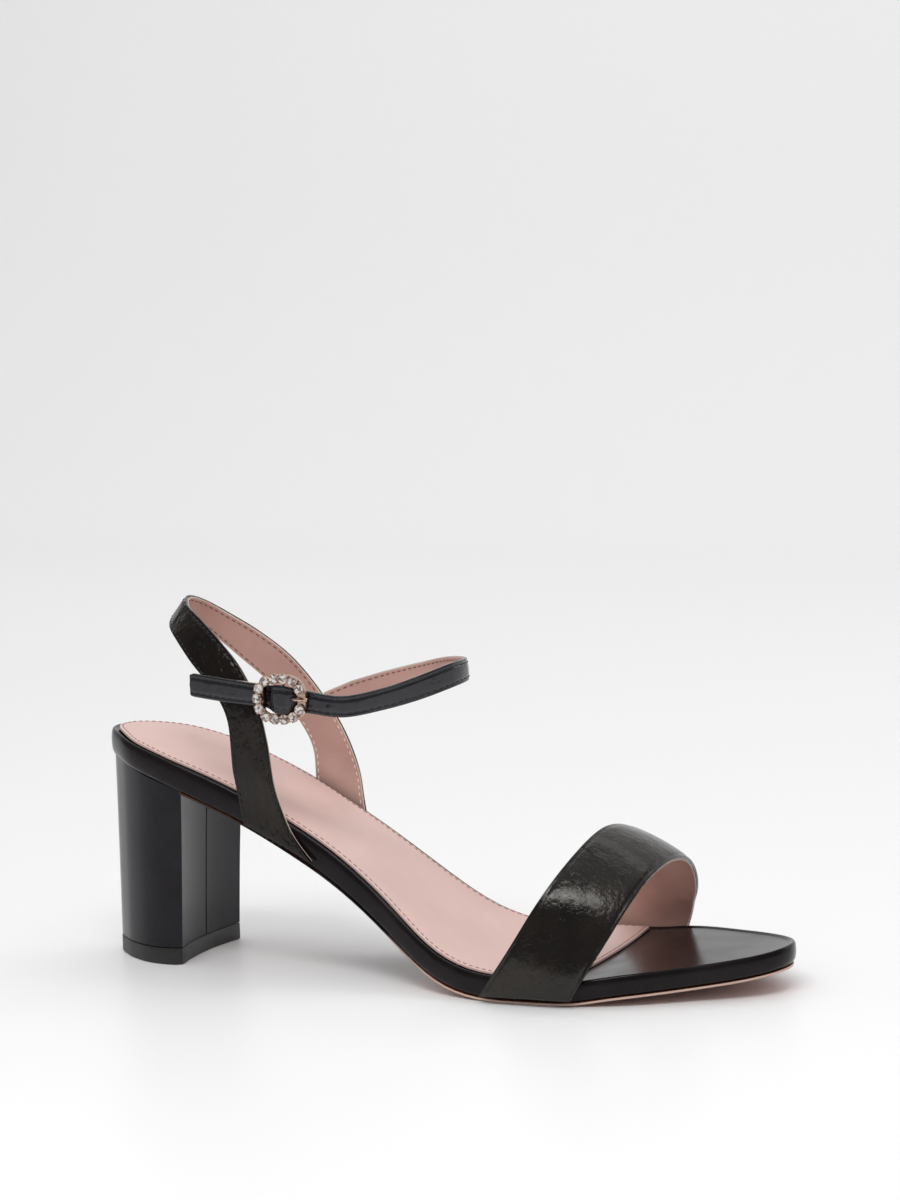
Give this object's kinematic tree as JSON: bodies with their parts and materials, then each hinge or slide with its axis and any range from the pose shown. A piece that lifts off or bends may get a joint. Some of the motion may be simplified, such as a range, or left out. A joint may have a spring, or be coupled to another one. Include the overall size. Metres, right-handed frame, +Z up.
{
  "type": "heeled sandal",
  "caption": "Open-toed sandal for the right foot with a broad vamp strap, a heel strap, a buckled ankle strap with a jewelled frame, and a block heel.",
  "frame": {"origin": "middle of the heel's ground face, on the floor", "axes": "+X towards the toe, +Y towards the inner side of the foot, +Z up"},
  "size_m": [0.227, 0.0878, 0.116],
  "materials": {
    "footbed_wrap": "glossy",
    "sock": "satin",
    "outsole": "matte",
    "heel_cover": "glossy",
    "top_piece": "matte",
    "upper": "crinkled gloss",
    "buckle_metal": "polished",
    "stones": "cut"
  },
  "bodies": {
    "root": {"midsole": "footbed_wrap", "insole": "sock", "outsole": "outsole", "heel": "heel_cover", "heel_top_piece": "top_piece", "vamp_strap": "upper", "back_strap": "upper", "ankle_strap": "upper", "buckle_tab": "upper", "buckle_frame": "buckle_metal", "buckle_bar": "buckle_metal", "buckle_prong": "buckle_metal", "buckle_stone_01": "stones", "buckle_stone_02": "stones", "buckle_stone_03": "stones", "buckle_stone_04": "stones", "buckle_stone_05": "stones", "buckle_stone_06": "stones", "buckle_stone_07": "stones", "buckle_stone_08": "stones", "buckle_stone_09": "stones", "buckle_stone_10": "stones", "buckle_stone_11": "stones", "buckle_stone_12": "stones", "buckle_stone_13": "stones"}
  },
  "joints": []
}
